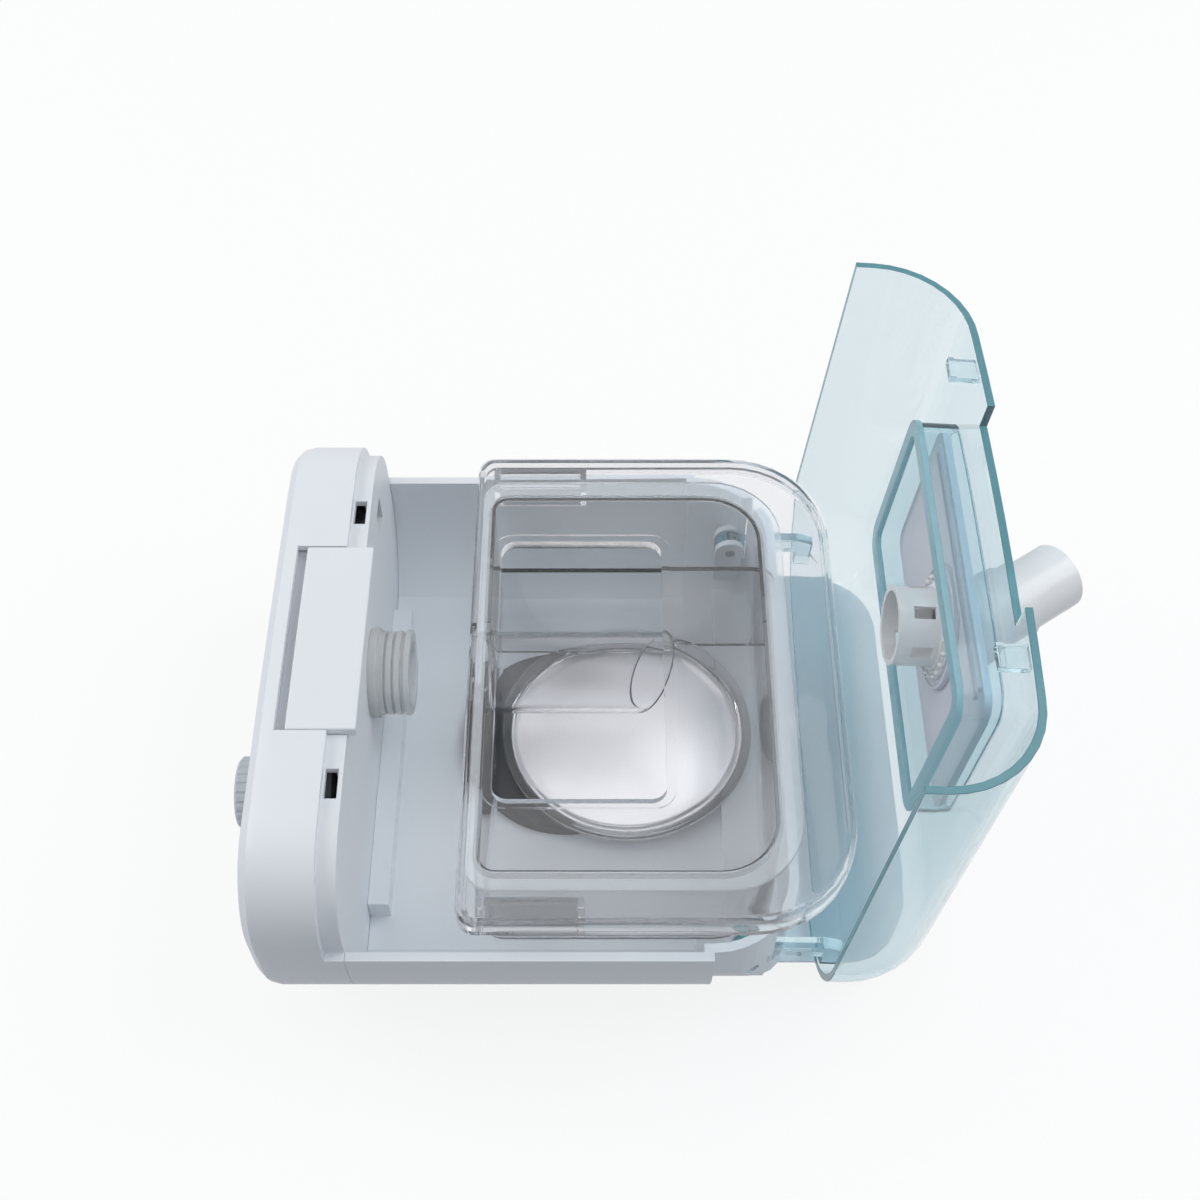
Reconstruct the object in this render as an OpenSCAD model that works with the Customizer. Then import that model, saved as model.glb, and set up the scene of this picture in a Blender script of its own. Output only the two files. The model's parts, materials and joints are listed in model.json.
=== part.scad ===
// Bedside breathing machine with a drawer-type water tank under a hinged, see-through lid.
// The slim blower block stands at -X, the tank tray at +X, and the lid hinges behind the tray.
// X runs from the block to the tail, Y across the machine, Z up from the surface it stands on.
// The model is drawn with the lid open and the tank pulled off its air port, and its origin
// lies on the table under the middle of the machine as it stands like that.

/* [Body] */
// Size of the machine across, from side to side
body_depth = 190; // [186:1:200]
// Height of the tray rim above the table
rim_z = 60; // [59:0.5:64]
// Rise of the lid and of the blower block above the rim
lid_rise = 36; // [36:0.5:40]
// Radius of the long top edges of lid and block
top_edge_r = 30; // [26:1:31]
// Radius of the long bottom edges of the body
low_edge_r = 44; // [42:1:46]
// Extra height of the crowned top along the middle
crown = 1.5; // [0.5:0.1:2]
// Height of the body's underside above the table
foot_lift = 6; // [5:0.5:8]
// Wall of the white mouldings
wall = 2.5; // [2:0.1:3]

/* [Blower block] */
// Outer front face of the block
block_front_x = -125; // [-129:1:-124]
// Inner wall of the block, which faces the tray
block_wall_x = -95; // [-95.5:0.1:-94]
// Rounding of the block's front edges
block_edge_r = 7; // [4:0.5:9]
// Width of the ledge that takes the lid's free edge
ledge_w = 6; // [5:0.2:7]
// Width of the control panel
panel_w = 142; // [132:1:150]
// Thickness of the block's front wall
front_wall = 3.5; // [3:0.1:4]
// Height of the control panel
panel_h = 54; // [50:1:56]

/* [Latch] */
// Width of the lid release plate
latch_w = 70; // [60:1:76]
// Length of the lid release plate
latch_len = 22; // [20:0.5:22.5]
// Thickness of the lid release plate
latch_t = 3; // [2.4:0.1:3.4]
// Travel of the lid release plate
latch_travel = 3; // [2:0.1:3.2]

/* [Tray] */
// Rear end of the tray at the rim
tray_end_x = 45; // [44:0.2:46]
// Height of the tray floor above the table
tray_floor_z = 15; // [14.5:0.1:16]
// Wall of the tray
tray_wall = 3; // [2.5:0.1:3.4]
// Rear end of the low deck behind the tray
deck_end_x = 88; // [81:1:95]
// Half width of the deck
deck_half = 78; // [74:1:80]

/* [Lid] */
// Wall of the clear lid
lid_wall = 2.4; // [2:0.1:2.8]
// Gap between the closed lid and the rim
lid_gap = 0.3; // [0.2:0.05:0.5]
// How far the lid overhangs the tray's rear end
lid_overhang = 3; // [2.8:0.1:3.6]
// Place of the hinge axis along X
hinge_x = 31.6; // [31.2:0.1:32]
// Drop of the hinge axis below the rim
hinge_drop = 22.5; // [22:0.1:23]
// Angle at which the lid stands open
lid_open = 94.3; // [90:0.1:95]
// Radius of the hinge pins
hinge_pin_r = 2; // [1.6:0.1:2.4]
// Radius of the arm's eye round the pin
hinge_eye_r = 6; // [5:0.1:6.2]
// Length of the seal box in the lid
seal_box_len = 65; // [60:1:66]
// Width of the seal box in the lid
seal_box_w = 110; // [96:1:112]
// Wall of the seal box
seal_box_wall = 3; // [2.4:0.1:3.4]
// Distance from the free edge of the lid to the seal box
seal_box_inset = 24.5; // [23:0.5:26]

/* [Air outlet] */
// Outer radius of the hose connector
outlet_r = 11; // [10:0.5:12]
// Bore radius of the hose connector
outlet_bore_r = 9; // [8:0.1:9.4]
// Length of the hose connector along its tilted axis
outlet_len = 38; // [34:1:42]
// Straight length at the tip that takes the hose cuff
outlet_seat = 20; // [18:1:22]
// Tilt of the hose connector from the roof's normal
outlet_tilt = 35; // [25:1:40]
// Place of the outlet across the machine
outlet_y = -6; // [-10:1:6]
// Outer radius of the slotted cage inside the lid
cage_r = 12.5; // [11:0.5:13]
// Length of the slotted cage
cage_len = 16; // [14:0.5:17]

/* [Tank] */
// Left side of the tank cover, as pulled out
tank_x = -60.7; // [-61:0.1:-59]
// Length of the tank cover along X
tank_len = 123.6; // [118:0.2:124]
// Half width of the tank cover
tank_half = 90; // [86:0.5:90.4]
// Travel of the tank between air port and pulled out
tank_travel = 20; // [18:0.5:20.4]
// Height of the tank cover's top above the rim
tank_rise = 19; // [18:0.2:19.4]
// Wall of the tank
tank_wall = 2.2; // [1.8:0.1:2.6]
// Length of the tank body along X
tank_body_len = 96; // [92:1:97]
// Half width of the tank body
tank_body_half = 74; // [70:0.5:75]
// Depth of the cover's turned-down edge
cover_skirt = 11; // [8:0.5:11]
// Outer radius of the inlet tube in the tank
tube_r = 14; // [12:0.5:14]
// Length of the inlet tube along its top
tube_len = 62; // [50:1:66]
// Place of the inlet tube across the machine
tube_y = 11; // [8:1:13]
// Drop of the inlet tube's axis below the rim
tube_drop = 3; // [2:0.5:5]

/* [Heater] */
// Radius of the black heater plate
heater_r = 38; // [34:1:40]
// Height of the heater plate's top above the tray floor
heater_rise = 5; // [4.4:0.1:5.4]
// Place of the heater plate along X, from under the middle of the docked tank
heater_x = 0; // [-1:0.5:1]
// Place of the heater plate across the machine
heater_y = 8; // [4:1:9]
// Radius of the metal plate in the tank floor
disc_r = 40.7; // [38:0.1:42]
// Outer radius of the ring that clamps the metal plate
disc_ring_r = 44; // [43:0.25:44.5]

/* [Blower] */
// Outer radius of the blower housing
blower_r = 31; // [28:0.5:32]
// Height of the blower axis above the table
blower_z = 52; // [50:1:53]
// Radius of the motor shaft
shaft_r = 1.5; // [1.2:0.1:2]
// Number of impeller blades
blade_count = 11; // [7:1:15]

/* [Controls] */
// Radius of the control knob
knob_r = 12; // [10:0.5:13]
// Radius of the round keys
key_r = 5.5; // [4.5:0.5:6]
// Travel of the keys
key_travel = 1; // [0.6:0.1:1.2]
// Width of the display window
display_w = 54; // [48:1:56]
// Height of the display window
display_h = 32; // [28:1:34]

/* [Hidden] */

fit = 0.05;                // radial clearance of a running fit
gap = 0.3;                 // clearance between pieces that only lie together
eps = 0.02;                // overlap that joins two extrusions end to end
far = 200;                 // beyond the whole machine
$fn = 64;

body_half = body_depth / 2;
top_z = rim_z + lid_rise;
low_z = foot_lift + low_edge_r;          // height of the low edges' centres
side_z = top_z - top_edge_r;             // height of the top edges' centres
arc_step = 10;

// Points of an arc, from angle a0 to a1
function arc(cx, cz, r, a0, a1, step = arc_step) =
    let (n = ceil(abs(a1 - a0) / step))
    [for (i = [0:n]) let (a = a0 + (a1 - a0) * i / n) [cx + r * cos(a), cz + r * sin(a)]];

// Points of the crowned top between two edge roundings, right to left
function crown_line(half, z, rise) =
    [for (k = [1:7]) let (y = half * (1 - k / 4)) [y, z + rise * (1 - pow(y / half, 2))]];

function flip(points) = [for (i = [len(points) - 1:-1:0]) [-points[i][0], points[i][1]]];

// Half of the low U of the body, from the middle of the underside up to the rim
function low_half(half, inset) =
    arc(half - low_edge_r, low_z, low_edge_r - inset, -90, 0);

// Closed outline of the body below height z
function tub_outline(half, inset, z) =
    let (side = concat(low_half(half, inset), [[half - inset, z]]))
    concat(side, flip(side));

// Closed outline of the full block
function block_outline(inset) =
    let (side = concat(low_half(body_half, inset),
                       arc(body_half - top_edge_r, side_z, top_edge_r - inset, 0, 90)))
    concat(side, crown_line(body_half - top_edge_r, top_z - inset, crown), flip(side));

// Outline of the arch that lid and ledge share, from height z upwards
function arch_outline(inset, z) =
    let (side = concat([[body_half - inset, z]],
                       arc(body_half - top_edge_r, side_z, top_edge_r - inset, 0, 90)))
    concat(side, crown_line(body_half - top_edge_r, top_z - inset, crown), flip(side));

// Extrusions along X and along Y
module along_x(x0, x1) {
    translate([x0, 0, 0]) rotate([90, 0, 90]) linear_extrude(x1 - x0) children();
}
module along_y(y0, y1) {
    translate([0, y1, 0]) rotate([90, 0, 0]) linear_extrude(y1 - y0) children();
}
module rod_x(x0, x1, y, z, r) {
    translate([x0, y, z]) rotate([0, 90, 0]) cylinder(h = x1 - x0, r = r);
}
module rod_y(y0, y1, x, z, r) {
    translate([x, y0, z]) rotate([-90, 0, 0]) cylinder(h = y1 - y0, r = r);
}
module rod_z(z0, z1, x, y, r) {
    translate([x, y, z0]) cylinder(h = z1 - z0, r = r);
}
module block(x0, x1, y0, y1, z0, z1) {
    translate([x0, y0, z0]) cube([x1 - x0, y1 - y0, z1 - z0]);
}
module both_sides() {
    children();
    mirror([0, 1, 0]) children();
}

// Rectangle with four corner radii of its own left and right side, around y = 0
module plan(x0, x1, half, left_r, right_r) {
    polygon(concat(arc(x1 - right_r, half - right_r, right_r, 0, 90),
                   arc(x0 + left_r, half - left_r, left_r, 90, 180),
                   arc(x0 + left_r, -half + left_r, left_r, 180, 270),
                   arc(x1 - right_r, -half + right_r, right_r, 270, 360)));
}

// ------------------------------------------------------------------ tray and base

lid_end_x = tray_end_x + lid_overhang;
corner_x = lid_end_x - top_edge_r;             // centre of the rear plan corners
corner_y = body_half - top_edge_r;
tub_inset = lid_wall + 0.4;                    // how far the tub's rear stays inside the lid
hinge_z = rim_z - hinge_drop;
arm_t = 4;                                     // thickness of a hinge arm
arm_y = body_half - 14.5;                      // middle of a hinge arm
cheek_t = 2.2;                                 // thickness of a bracket's cheek
bracket_z = foot_lift + 16;                    // foot of the brackets, inside the tub's rounded side
tub_start_x = block_wall_x + 0.1;

module rear_plan(inset) {
    r = top_edge_r - inset;
    polygon(concat([[tub_start_x, -body_half + inset]],
                   arc(corner_x, -corner_y, r, -90, 0),
                   arc(corner_x, corner_y, r, 0, 90),
                   [[tub_start_x, body_half - inset]]));
}

module tub_outer() {
    along_x(tub_start_x, corner_x) polygon(tub_outline(body_half, 0, rim_z));
    intersection() {
        along_x(corner_x - 20, tray_end_x + 5)
            polygon(tub_outline(body_half - tub_inset, 0, rim_z));
        translate([0, 0, foot_lift]) linear_extrude(rim_z) rear_plan(tub_inset);
    }
}

module tray_hollow() {
    intersection() {
        along_x(tub_start_x - 5, tray_end_x)
            polygon(tub_outline(body_half, tub_inset + tray_wall, rim_z + 5));
        translate([0, 0, tray_floor_z]) linear_extrude(rim_z) rear_plan(tub_inset + tray_wall);
    }
    // the straight sides are wider than the rear part
    intersection() {
        along_x(tub_start_x - 5, corner_x - tray_wall)
            polygon(tub_outline(body_half, tray_wall, rim_z + 5));
        block(tub_start_x - 5, corner_x - tray_wall, -body_half, body_half, tray_floor_z, rim_z + 5);
    }
}

step_w = 7;                                    // low ledge along the foot of the block's wall
step_h = 9;
step_half = body_half - 35;
plate_half = body_half - low_edge_r - 1;       // half width of the base plate
plate_x0 = block_wall_x + 8;
plate_x1 = tray_end_x - 12;
plate_t = 2.5;
plate_top = foot_lift + plate_t;
floor_t = 2.5;
element_t = 0.8;                               // thin heating ring under the plate
element_bore_r = 8;
heater_top = tray_floor_z + heater_rise;
vent_pitch = 7;                                // slots of the base plate
vent_w = 2.4;
vent_half = 18;
vent_x = (plate_x0 + plate_x1) / 2 - 20;
screw_points = [for (x = [plate_x0 + 8, plate_x1 - 8], y = [-1, 1]) [x, y * (plate_half - 8)]];
screw_r = 1.2;
head_r = 2.8;
head_h = 1;
boss_r = 3.5;
foot_r = 8;
foot_sink = 1;
foot_points = [[block_front_x + 16, -1], [block_front_x + 16, 1],
               [deck_end_x - 16, -1], [deck_end_x - 16, 1]];
foot_y = body_half - low_edge_r - 11;          // the feet stand on the flat of the underside

module at_feet(first, last) {
    for (i = [first:last])
        translate([foot_points[i][0], foot_points[i][1] * foot_y, 0]) children();
}

// The deck passes just under the rounding of the open lid
deck_z = hinge_z - top_edge_r - (corner_x - hinge_x) * sin(lid_open)
         + (side_z - hinge_z) * cos(lid_open) - gap;

module deck() {
    intersection() {
        along_x(tray_end_x - 20, deck_end_x)
            polygon(tub_outline(body_half - tub_inset, 0, deck_z));
        translate([0, 0, foot_lift])
            linear_extrude(deck_z - foot_lift) plan(tray_end_x - 20, deck_end_x, deck_half, 1, 24);
    }
}

// Bracket of two cheeks that carries one hinge pin
module hinge_bracket() {
    for (s = [-1, 1]) {
        y0 = arm_y + s * (arm_t / 2 + gap + cheek_t / 2) - cheek_t / 2;
        block(hinge_x - hinge_eye_r, hinge_x + hinge_eye_r - 1.5, y0, y0 + cheek_t,
              bracket_z, hinge_z);
        rod_y(y0, y0 + cheek_t, hinge_x, hinge_z, hinge_eye_r);
    }
}

module arm_slot() {
    block(hinge_x - hinge_eye_r - 1, tray_end_x + 5, arm_y - arm_t / 2 - gap,
          arm_y + arm_t / 2 + gap, hinge_z - hinge_eye_r - 0.8, rim_z + 5);
}

module base_tub() color("#E6E9EC") difference() {
    union() {
        difference() {
            tub_outer();
            tray_hollow();
        }
        deck();
        // low ledge along the foot of the block's wall
        block(tub_start_x, tub_start_x + step_w, -step_half, step_half,
              tray_floor_z - 1, tray_floor_z + step_h);
        intersection() {
            both_sides() hinge_bracket();
            tub_outer();
        }
        both_sides() difference() {
            hinge_bracket();
            block(-far, far, 0, far, 0, bracket_z + 2);
        }
        for (p = screw_points) rod_z(plate_top, tray_floor_z - 1, p[0], p[1], boss_r);
    }
    // space under the floor, with the base plate's seat below it
    difference() {
        block(plate_x0 + 3, plate_x1 - 3, -plate_half + 3, plate_half - 3,
              foot_lift - 1, tray_floor_z - floor_t);
        for (p = screw_points) rod_z(plate_top, tray_floor_z, p[0], p[1], boss_r);
    }
    translate([0, 0, foot_lift - 1])
        linear_extrude(plate_t + 1) plan(plate_x0 - gap, plate_x1 + gap, plate_half + gap, 6, 6);
    for (p = screw_points) rod_z(plate_top - 1, tray_floor_z - floor_t, p[0], p[1], screw_r + fit);
    rod_z(tray_floor_z - floor_t - 1, tray_floor_z + 1, hot_x, heater_y, heater_r + 0.2);
    both_sides() arm_slot();
    both_sides() rod_y(arm_y - arm_t * 3, arm_y + arm_t * 3, hinge_x, hinge_z, hinge_pin_r + fit);
    at_feet(2, 3) rod_z(foot_lift - 1, foot_lift + foot_sink, 0, 0, foot_r + 0.2);
}

module base_plate() color("#D9DDE0") difference() {
    translate([0, 0, foot_lift]) linear_extrude(plate_t) plan(plate_x0, plate_x1, plate_half, 6, 6);
    for (p = screw_points) {
        rod_z(foot_lift - 1, plate_top + 1, p[0], p[1], screw_r + 0.5);
        rod_z(foot_lift - 1, foot_lift + head_h + 0.2, p[0], p[1], head_r + 0.4);
    }
    for (k = [-4:4])
        block(vent_x + k * vent_pitch - vent_w / 2, vent_x + k * vent_pitch + vent_w / 2,
              -vent_half, vent_half, foot_lift - 1, plate_top + 1);
}

module base_screws() color("#9AA0A6") for (p = screw_points) {
    rod_z(foot_lift + 0.2, foot_lift + 0.2 + head_h, p[0], p[1], head_r);
    rod_z(foot_lift + 0.2 + head_h, tray_floor_z - floor_t - 1, p[0], p[1], screw_r);
}

module feet() color("#3A3F45") at_feet(0, 3) {
    rod_z(0, foot_lift + foot_sink, 0, 0, foot_r);
}

module hinge_pins() color("#B9BEC4") both_sides()
    rod_y(arm_y - arm_t / 2 - gap - cheek_t, arm_y + arm_t / 2 + gap + cheek_t,
          hinge_x, hinge_z, hinge_pin_r);

module heater_plate() color("#3C414B") {
    rod_z(tray_floor_z - floor_t, heater_top - 1, hot_x, heater_y, heater_r);
    translate([hot_x, heater_y, heater_top - 1]) cylinder(h = 1, r1 = heater_r, r2 = heater_r - 1);
}

module heater_element() color("#B4772E") difference() {
    rod_z(tray_floor_z - floor_t - element_t, tray_floor_z - floor_t, hot_x, heater_y, heater_r - 2);
    rod_z(0, tray_floor_z, hot_x, heater_y, element_bore_r);
}

// ------------------------------------------------------------------ blower block

ledge_x = block_wall_x - ledge_w;              // left side of the ledge
ledge_drop = lid_wall + 0.5;                   // depth of the ledge below the outer skin
free_edge_x = ledge_x + 0.5;                   // free edge of the closed lid
lid_front_x = free_edge_x + 20;                // the lid keeps the block's section this far
port_y = tube_y;
port_z = rim_z - tube_drop;
port_r = tube_r - 1;                           // outside of the blower's spigot and the tank's
port_bore_r = tube_r - 3;
panel_z = rim_z - 9;                           // middle of the control panel
inner_x0 = block_front_x + front_wall;
inner_x1 = block_wall_x - wall;
latch_over = 3;                                // how far the release plate stands over the tray
latch_x0 = block_wall_x + latch_over - latch_len;
latch_floor = top_z - latch_t - 0.5;
bar_x1 = ledge_x - 0.5;                        // side of the latch bar towards the clips
bar_w = 10;
groove_x = latch_x0 + 3;                       // finger grooves in the release plate
groove_pitch = 1.8;
spring_turns = 6;
spring_pitch = 1.6;
slot_y = latch_w / 2 + 17;                     // middle of the slots for the lid's clips
clip_w = 8;
tie_ys = [-1, 1] * (plate_half - 20);          // screws between block and tub
tie_z = foot_lift + 11.5;
tie_r = 1.5;
hook_ys = [-1, 1] * (latch_w / 2 - 15);        // legs of the release plate
hook_x0 = latch_x0 + 8;
hook_x1 = latch_x0 + 12;
hook_half = 3;
filter_z = rim_z - 2;
filter_w = 17;
filter_h = 22;
filter_x = block_front_x + 14;
socket_y = body_half - 17;
socket_z = 32;
socket_r = 6;

// Block with rounded front edges, straight back to the ledge
module block_skin() {
    hull() for (t = [0:30:90])
        along_x(block_front_x + block_edge_r * (1 - cos(t)), ledge_x)
            polygon(block_outline(block_edge_r * (1 - sin(t))));
}

module ledge_part(inset, x1) {
    // the low part keeps the body's width, the arch steps in under the lid's edge
    along_x(ledge_x - eps, x1) {
        polygon(tub_outline(body_half, inset, rim_z - inset));
        polygon(arch_outline(ledge_drop + inset, rim_z - 10));
    }
}

module panel_shape(grow) {
    translate([0, panel_z]) offset_rect(panel_w / 2 + grow, panel_h / 2 + grow, 14 + grow);
}

module offset_rect(hw, hh, r) {
    polygon(concat(arc(hw - r, hh - r, r, 0, 90), arc(-hw + r, hh - r, r, 90, 180),
                   arc(-hw + r, -hh + r, r, 180, 270), arc(hw - r, -hh + r, r, 270, 360)));
}

module front_housing() color("#E9ECEE") difference() {
    union() {
        difference() {
            union() {
                block_skin();
                ledge_part(0, block_wall_x);
            }
            along_x(inner_x0, ledge_x - wall) polygon(block_outline(wall));
            along_x(ledge_x - wall - eps, inner_x1) polygon(block_outline(ledge_drop + wall));
        }
        // floor under the latch pocket
        block(latch_x0 - latch_travel - 3, inner_x1 + 1, -latch_w / 2 - 3, latch_w / 2 + 3,
              latch_floor - 2.4, top_z - wall);
        // posts that carry the control board
        for (y = post_ys) rod_x(block_front_x + 2, board_x - 0.05, y, post_z, 3);
        // bore for the power socket
        rod_y(socket_y - 4, socket_y + 8.5, filter_x, socket_z, socket_r + 2.2);
    }
    along_x(block_front_x - 1, inner_x0 + 1) panel_shape(gap);
    // pocket and slots of the release plate
    block(latch_x0 - latch_travel - gap, block_wall_x + 1, -latch_w / 2 - gap, latch_w / 2 + gap,
          latch_floor, top_z + 5);
    for (y = hook_ys)
        block(hook_x0 - latch_travel - gap, hook_x1 + gap, y - hook_half - gap, y + hook_half + gap,
              latch_floor - 10, latch_floor + 5);
    // slots in the ledge for the two clips of the lid
    for (s = [-1, 1])
        block(ledge_x + 0.6, block_wall_x - 1.4, s * slot_y - clip_w / 2 - 1,
              s * slot_y + clip_w / 2 + 1, top_z - 14, top_z + 5);
    // notch near the far end of the inner wall
    block(inner_x1 - 1, block_wall_x + 1, body_half - 35, body_half - 25, rim_z + 8, rim_z + 20);
    rod_x(inner_x1 - 1, block_wall_x + 1, port_y, port_z, port_r + 0.2);
    // opening of the intake filter in the far side
    block(filter_x - filter_w / 2, filter_x + filter_w / 2, body_half - 8, body_half + 5,
          filter_z - filter_h / 2, filter_z + filter_h / 2);
    rod_y(socket_y - 6, body_half + 5, filter_x, socket_z, socket_r);
    at_feet(0, 1) rod_z(foot_lift - 1, foot_lift + foot_sink, 0, 0, foot_r + 0.2);
    for (y = tie_ys) rod_x(inner_x1 - 1, block_wall_x + 1, y, tie_z, tie_r + 0.2);
}

module housing_screws() color("#9AA0A6") for (y = tie_ys) {
    rod_x(inner_x1 - 1.5, inner_x1, y, tie_z, head_r);
    rod_x(inner_x1, block_wall_x, y, tie_z, tie_r);
}

window_y = panel_w / 2 - 43;
window_z = panel_z + 3;
knob_y = 37 - panel_w / 2;
knob_z = panel_z + 3;
key_row = 7 - panel_h / 2;                     // height of the keys over the panel's middle
key_points = [[knob_y, key_row], [window_y - 20, key_row], [window_y + 20, key_row]];
panel_back_x = inner_x0;
board_x = panel_back_x + 3.9;
board_t = 1.6;
board_half = panel_w / 2 - 5;
post_ys = [-1, 1] * (panel_w / 2 - 11);
post_z = panel_z + panel_h / 2 + 6.5;

module front_panel() color("#F2F4F5") difference() {
    union() {
        along_x(block_front_x + 0.2, panel_back_x) panel_shape(0);
        along_x(panel_back_x, panel_back_x + 1.2) panel_shape(3);
    }
    along_x(block_front_x - 1, panel_back_x + 3)
        translate([window_y, window_z]) offset_rect(display_w / 2 + 0.1, display_h / 2 + 0.1, 4);
    rod_x(block_front_x - 1, panel_back_x + 3, knob_y, knob_z, 3.6);
    rod_x(block_front_x - 1, block_front_x + 1, knob_y, knob_z, knob_r + 0.8);
    for (p = key_points)
        rod_x(block_front_x - 1, panel_back_x + 3, p[0], panel_z + p[1], key_r + gap);
}

module display_window() color("#20262C") {
    along_x(block_front_x + 0.3, panel_back_x)
        translate([window_y, window_z]) offset_rect(display_w / 2, display_h / 2, 4);
}

module display_module() color("#6F7C84") {
    block(panel_back_x, board_x - 0.05, window_y - display_w / 2 + 2, window_y + display_w / 2 - 2,
          window_z - display_h / 2 + 2, window_z + display_h / 2 - 2);
}

module control_board() color("#2E6B4A") difference() {
    union() {
        block(board_x, board_x + board_t, -board_half, board_half,
              panel_z - panel_h / 2 + 2, panel_z + panel_h / 2 + 2);
        for (y = post_ys) block(board_x, board_x + board_t, y - 5, y + 5, panel_z, post_z + 4);
        block(board_x + board_t, board_x + board_t + 2, window_y - 6, window_y + 12,
              panel_z - 20, panel_z - 4);
        block(board_x + board_t, board_x + board_t + 3, window_y + 18, window_y + 32,
              panel_z + 4, panel_z + 22);
    }
    for (y = post_ys) rod_x(board_x - 1, board_x + 5, y, post_z, 1.6);
}

module key_mat() color("#8F989E") {
    for (p = key_points)
        rod_x(panel_back_x + 1.3 + key_travel, board_x - 0.05, p[0], panel_z + p[1], key_r - 1);
    difference() {
        block(board_x - 0.9, board_x - 0.1, knob_y - 10, window_y + 30,
              panel_z + key_row - 4.5, panel_z + key_row + 5);
        for (p = key_points)
            rod_x(board_x - 3, board_x + 1, p[0], panel_z + p[1], key_r - 1);
    }
}

module key(i) {
    p = key_points[i];
    rod_x(block_front_x - 0.9, panel_back_x + 1.2, p[0], panel_z + p[1], key_r);
    translate([block_front_x - 1.7, p[0], panel_z + p[1]]) rotate([0, 90, 0])
        cylinder(h = 0.8, r1 = key_r - 1.2, r2 = key_r);
}

module power_key() color("#3E8E5A") key(0);
module menu_key() color("#DDE1E4") key(1);
module ramp_key() color("#DDE1E4") key(2);

module encoder() color("#4A4F55") {
    block(panel_back_x + 1.3, board_x - 0.05, knob_y - 6, knob_y + 6, knob_z - 6, knob_z + 6);
    rod_x(block_front_x - 6, panel_back_x + 1.3, knob_y, knob_z, 3);
}

module control_knob() color("#C9CED2") difference() {
    union() {
        rod_x(block_front_x - 9, block_front_x + 0.4, knob_y, knob_z, knob_r);
        translate([block_front_x - 10, knob_y, knob_z]) rotate([0, 90, 0])
            cylinder(h = 1, r1 = knob_r - 1, r2 = knob_r);
    }
    rod_x(block_front_x - 6.2, block_front_x + 1, knob_y, knob_z, 3 + fit);
    for (k = [0:23]) rotate_about_x(k * 15)
        rod_x(block_front_x - 11, block_front_x - 1.5, 0, knob_r + 0.5, 1);
}

module rotate_about_x(angle) {
    translate([0, knob_y, knob_z]) rotate([angle, 0, 0]) children();
}

// Blower: volute, cover, motor and wheel share one axis along X
duct_half = tube_r + 1;
duct_y0 = tube_y - duct_half;
duct_y1 = tube_y + duct_half;
blower_y = duct_y0 - 1 - blower_r;
blower_x0 = board_x + board_t + 3.4;
blower_x1 = blower_x0 + 12;
blower_wall = 1.6;
throat_h = 16;                                 // height of the volute's mouth

module blower_volute() color("#D5D9DC") difference() {
    union() {
        rod_x(blower_x0, blower_x1, blower_y, blower_z, blower_r);
        block(blower_x0, blower_x1, blower_y, duct_y0 - 0.1, blower_z + blower_r - throat_h,
              blower_z + blower_r);
    }
    rod_x(blower_x0 - 1, blower_x1 - blower_wall, blower_y, blower_z, blower_r - blower_wall);
    block(blower_x0 + blower_wall, blower_x1 - blower_wall, blower_y, duct_y0 + 1,
          blower_z + blower_r - throat_h + blower_wall, blower_z + blower_r - blower_wall);
    rod_x(blower_x1 - 3, blower_x1 + 1, blower_y, blower_z, 6);
}

module blower_cover() color("#C6CBCF") difference() {
    union() {
        rod_x(blower_x0 - 1.8, blower_x0 - 0.05, blower_y, blower_z, blower_r);
        rod_x(blower_x0, blower_x0 + 1.6, blower_y, blower_z, blower_r - blower_wall - 0.1);
    }
    rod_x(blower_x0 - 3, blower_x0 + 3, blower_y, blower_z, 12);
}

wheel_r = blower_r - 7;

module impeller() color("#EDEFF1") difference() {
    union() {
        rod_x(blower_x1 - 4.4, blower_x1 - 3, blower_y, blower_z, wheel_r);
        rod_x(blower_x0 + 2, blower_x1 - 3, blower_y, blower_z, 5);
        for (k = [0:blade_count - 1])
            translate([0, blower_y, blower_z]) rotate([k * 360 / blade_count, 0, 0])
                translate([0, 4, 0]) rotate([24, 0, 0])
                    block(blower_x0 + 2.4, blower_x1 - 3.5, 0, wheel_r - 5.5, -0.6, 0.6);
    }
    rod_x(blower_x0, blower_x1, blower_y, blower_z, shaft_r + fit);
}

module blower_motor() color("#5A6068") {
    rod_x(blower_x1, inner_x1 - 1, blower_y, blower_z, 13);
    rod_x(blower_x1 - 1.4, blower_x1, blower_y, blower_z, 5.9);
    rod_x(blower_x0 + 2.4, blower_x1 - 1.4, blower_y, blower_z, shaft_r);
}

module blower_mounts() color("#53585E") {
    for (a = [50, 180, 290]) translate([0, blower_y, blower_z]) rotate([a, 0, 0])
        rod_x(blower_x1, inner_x1, blower_r - 6, 0, 4);
}

module air_duct() color("#CBD0D4") difference() {
    union() {
        block(blower_x0, inner_x1 - 0.1, duct_y0, duct_y1, port_z - tube_r - 0.5,
              blower_z + blower_r);
        rod_x(inner_x1 - 0.1, block_wall_x + 1.5, port_y, port_z, port_r);
    }
    rod_x(inner_x1 - 6, block_wall_x + 3, port_y, port_z, port_bore_r);
    block(blower_x0 + blower_wall, inner_x1 - 1.9, duct_y0 + blower_wall, duct_y1 - blower_wall,
          port_z - tube_r + 1.2, blower_z + blower_r - blower_wall);
    block(blower_x0 + blower_wall, blower_x1 - blower_wall, duct_y0 - 1, duct_y0 + 3,
          blower_z + blower_r - throat_h + blower_wall, blower_z + blower_r - blower_wall);
}

port_face_x = tank_x - tank_travel - 0.5;      // where the seal meets the docked tank
foam_end_y = socket_y - 8;

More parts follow.
